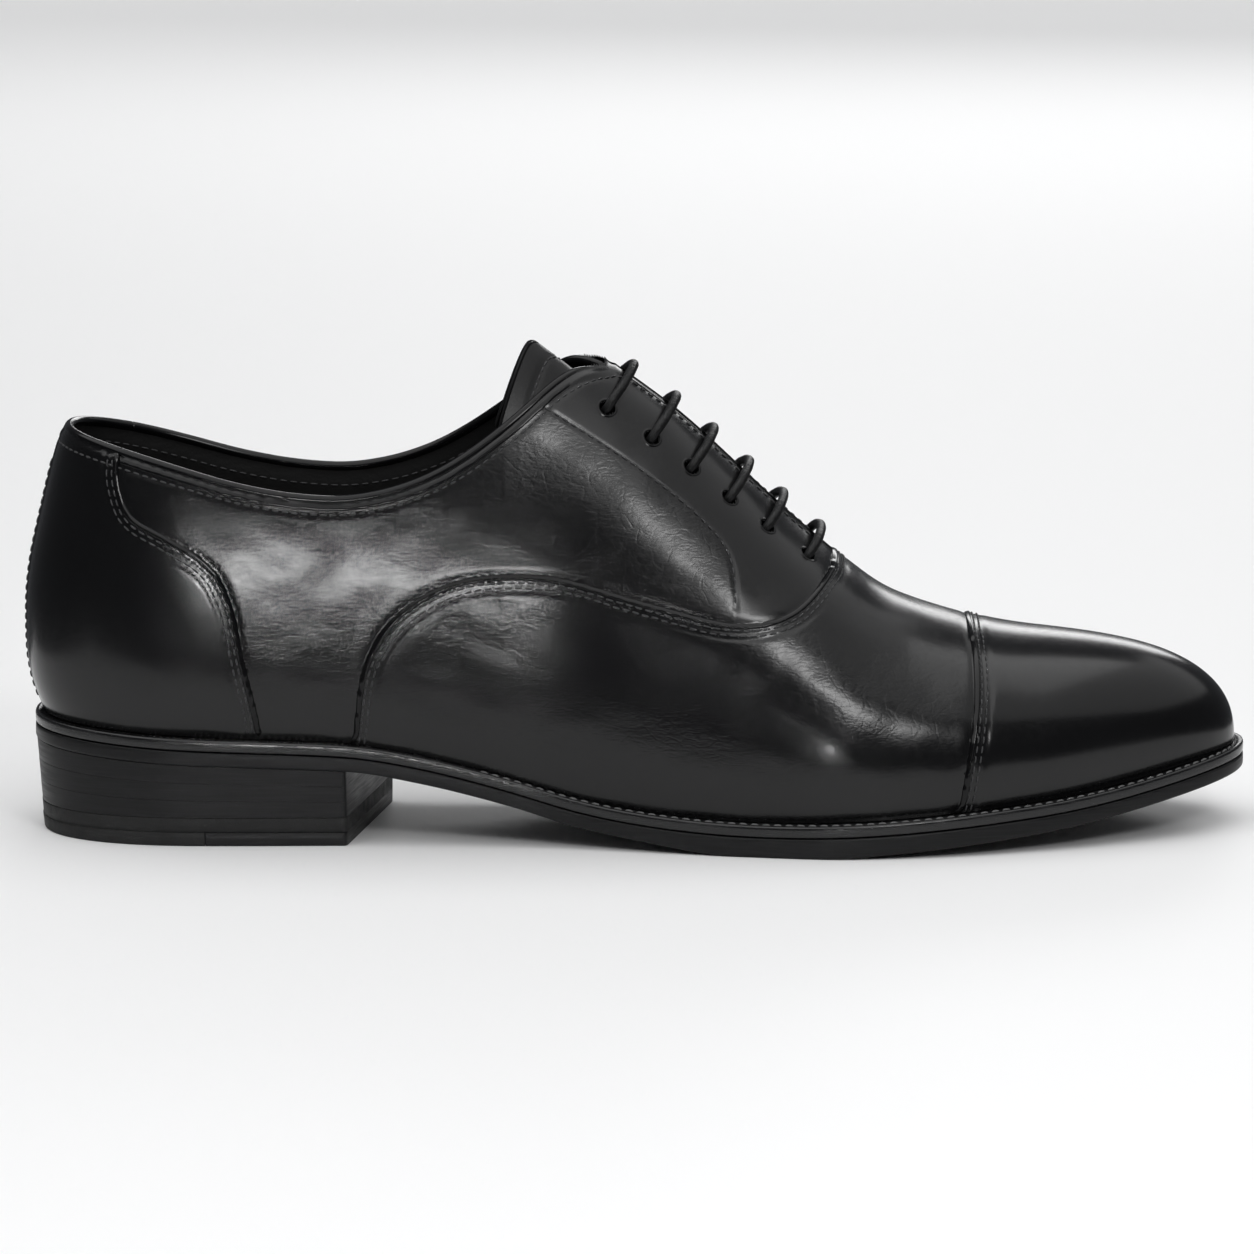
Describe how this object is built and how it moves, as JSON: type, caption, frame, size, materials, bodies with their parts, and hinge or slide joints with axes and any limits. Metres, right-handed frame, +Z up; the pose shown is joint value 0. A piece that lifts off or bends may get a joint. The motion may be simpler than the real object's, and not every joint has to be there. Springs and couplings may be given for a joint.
{
  "type": "oxford shoe",
  "caption": "Black leather cap-toe oxford shoe for a right foot, laced closed over its tongue, with a welted leather sole and a stacked heel",
  "frame": {"origin": "middle of the shoe's bounding box on the ground, under the arch", "axes": "+X from heel to toe, +Y to the inner (medial) side, +Z up; the shoe stands on its heel and ball"},
  "size_m": [0.307, 0.0998, 0.1222],
  "materials": {
    "upper_leather": "polished black calf leather with a fine creased grain",
    "lining_leather": "matt black glove leather",
    "leather_board": "raw fibre board, out of sight",
    "sole_leather": "black edge dressing, smooth satin",
    "cork": "granular cork, out of sight",
    "shank_steel": "plain rolled steel, out of sight",
    "eyelet_metal": "blackened, hidden behind the facing",
    "lace_cord": "round waxed black cotton cord",
    "aglet_plastic": "glossy black",
    "heel_rubber": "matt black moulded rubber",
    "nail_brass": "plain, worn nearly flush"
  },
  "bodies": {
    "shoe": {"toe_cap": "upper_leather", "vamp": "upper_leather", "heel_foxing": "upper_leather", "quarter_lateral": "upper_leather", "quarter_medial": "upper_leather", "binding_rear": "upper_leather", "binding_lateral": "upper_leather", "binding_medial": "upper_leather", "facing_stay_lateral": "lining_leather", "facing_stay_medial": "lining_leather", "vamp_lining": "lining_leather", "heel_lining": "lining_leather", "quarter_lining_lateral": "lining_leather", "quarter_lining_medial": "lining_leather", "sock_liner": "lining_leather", "toe_puff": "leather_board", "heel_counter": "leather_board", "waist_filler": "leather_board", "insole": "leather_board", "welt": "sole_leather", "outsole": "sole_leather", "heel_lift_1": "sole_leather", "heel_lift_2": "sole_leather", "heel_lift_3": "sole_leather", "heel_tip_insert": "sole_leather", "forepart_filler": "cork", "shank": "shank_steel", "eyelet_lateral_1": "eyelet_metal", "eyelet_lateral_2": "eyelet_metal", "eyelet_lateral_3": "eyelet_metal", "eyelet_lateral_4": "eyelet_metal", "eyelet_lateral_5": "eyelet_metal", "eyelet_lateral_6": "eyelet_metal", "eyelet_medial_1": "eyelet_metal", "eyelet_medial_2": "eyelet_metal", "eyelet_medial_3": "eyelet_metal", "eyelet_medial_4": "eyelet_metal", "eyelet_medial_5": "eyelet_metal", "eyelet_medial_6": "eyelet_metal", "lace": "lace_cord", "aglet_1": "aglet_plastic", "aglet_2": "aglet_plastic", "heel_top_piece": "heel_rubber", "heel_nail_1": "nail_brass", "heel_nail_2": "nail_brass", "heel_nail_3": "nail_brass", "heel_nail_4": "nail_brass", "heel_nail_5": "nail_brass", "heel_nail_6": "nail_brass"},
    "tongue": {"tongue": "upper_leather", "tongue_lining": "lining_leather"}
  },
  "joints": [
    {"name": "tongue_hinge", "type": "hinge", "parent": "shoe", "child": "tongue", "pos_m": [0.0498, 0.0025, 0.0635], "axis": [0, -1, 0], "range_deg": [0, 18], "stiffness_Nm_per_rad": 0.05, "springref_deg": -17.19}
  ]
}
